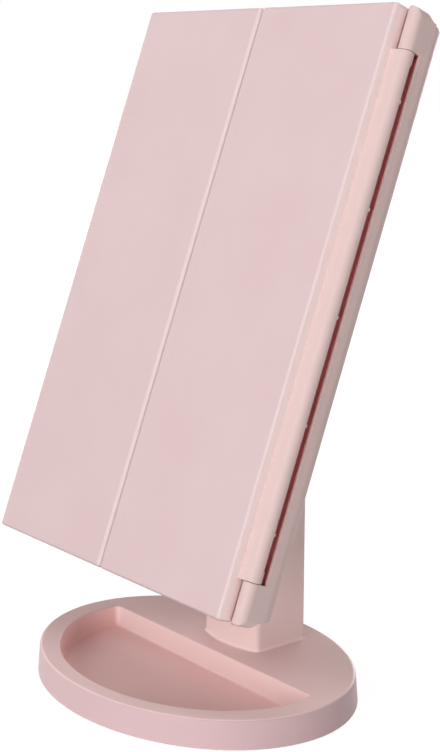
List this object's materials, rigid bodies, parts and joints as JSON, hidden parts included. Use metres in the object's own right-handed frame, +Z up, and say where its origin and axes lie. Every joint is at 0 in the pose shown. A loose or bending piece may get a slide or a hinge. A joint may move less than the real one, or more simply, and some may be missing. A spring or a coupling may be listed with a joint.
{
  "type": "trifold vanity mirror",
  "caption": "Folding table mirror: lit centre mirror with two hinged mirror wings on a tilting head, carried by a post on an oval dished base.",
  "frame": {"origin": "centre of the oval base on the table surface", "axes": "+Z up, front of the mirror towards -Y, +X to the right seen from the front"},
  "size_m": [0.1806, 0.1306, 0.3006],
  "materials": {
    "pink_plastic": "pale pink moulded ABS, satin sheen",
    "foot_rubber": "soft grey rubber",
    "steel": "zinc plated steel",
    "nylon": "natural nylon",
    "mirror_glass": "silvered glass",
    "frosted_plastic": "frosted translucent strip",
    "white_board": "white solder mask on glass fibre board",
    "green_board": "green solder mask on glass fibre board",
    "led_package": "white package with yellow phosphor",
    "copper": "bare copper pad",
    "nickel": "nickel plated steel",
    "black_plastic": "black moulded plastic",
    "cell_wrap": "plain unprinted sleeve"
  },
  "bodies": {
    "stand": {"base_tray": "pink_plastic", "base_cover": "pink_plastic", "rubber_feet": "foot_rubber", "base_screws": "steel", "neck_screws": "steel", "neck_column": "pink_plastic", "neck_cover": "pink_plastic"},
    "head": {"rear_shell": "pink_plastic", "centre_frame": "pink_plastic", "centre_mirror": "mirror_glass", "light_strips": "frosted_plastic", "led_boards": "white_board", "leds": "led_package", "touch_pad": "copper", "control_board": "green_board", "usb_socket": "nickel", "switch_body": "black_plastic", "battery_cells": "cell_wrap", "battery_contacts": "nickel", "shell_screws": "steel", "hinge_pins": "steel", "tilt_axle": "steel", "tilt_nut": "steel", "friction_washers": "nylon"},
    "left_wing": {"left_wing_cover": "pink_plastic", "left_wing_frame": "pink_plastic", "upper_magnifier": "mirror_glass", "lower_magnifier": "mirror_glass"},
    "right_wing": {"right_wing_cover": "pink_plastic", "right_wing_frame": "pink_plastic", "right_wing_mirror": "mirror_glass"},
    "power_switch": {"power_switch": "pink_plastic"},
    "battery_door": {"battery_door": "pink_plastic"}
  },
  "joints": [
    {"name": "head_tilt", "type": "hinge", "parent": "stand", "child": "head", "pos_m": [0, 0.0345, 0.1667], "axis": [-1, 0, 0], "range_deg": [-20.7, 159.3]},
    {"name": "right_wing_fold", "type": "hinge", "parent": "head", "child": "right_wing", "pos_m": [0.08655, 0.00082, 0.17943], "axis": [0, 0.3535, 0.9354], "range_deg": [0, 180]},
    {"name": "left_wing_fold", "type": "hinge", "parent": "head", "child": "left_wing", "pos_m": [-0.08655, 0.00082, 0.17943], "axis": [0, -0.3535, -0.9354], "range_deg": [0, 180]},
    {"name": "power_switch_slide", "type": "slide", "parent": "head", "child": "power_switch", "axis": [1, 0, 0], "range_m": [0, 0.003]},
    {"name": "battery_door_hinge", "type": "hinge", "parent": "head", "child": "battery_door", "pos_m": [-0.048, -0.02409, 0.07154], "axis": [-1, 0, 0], "range_deg": [0, 75]}
  ]
}
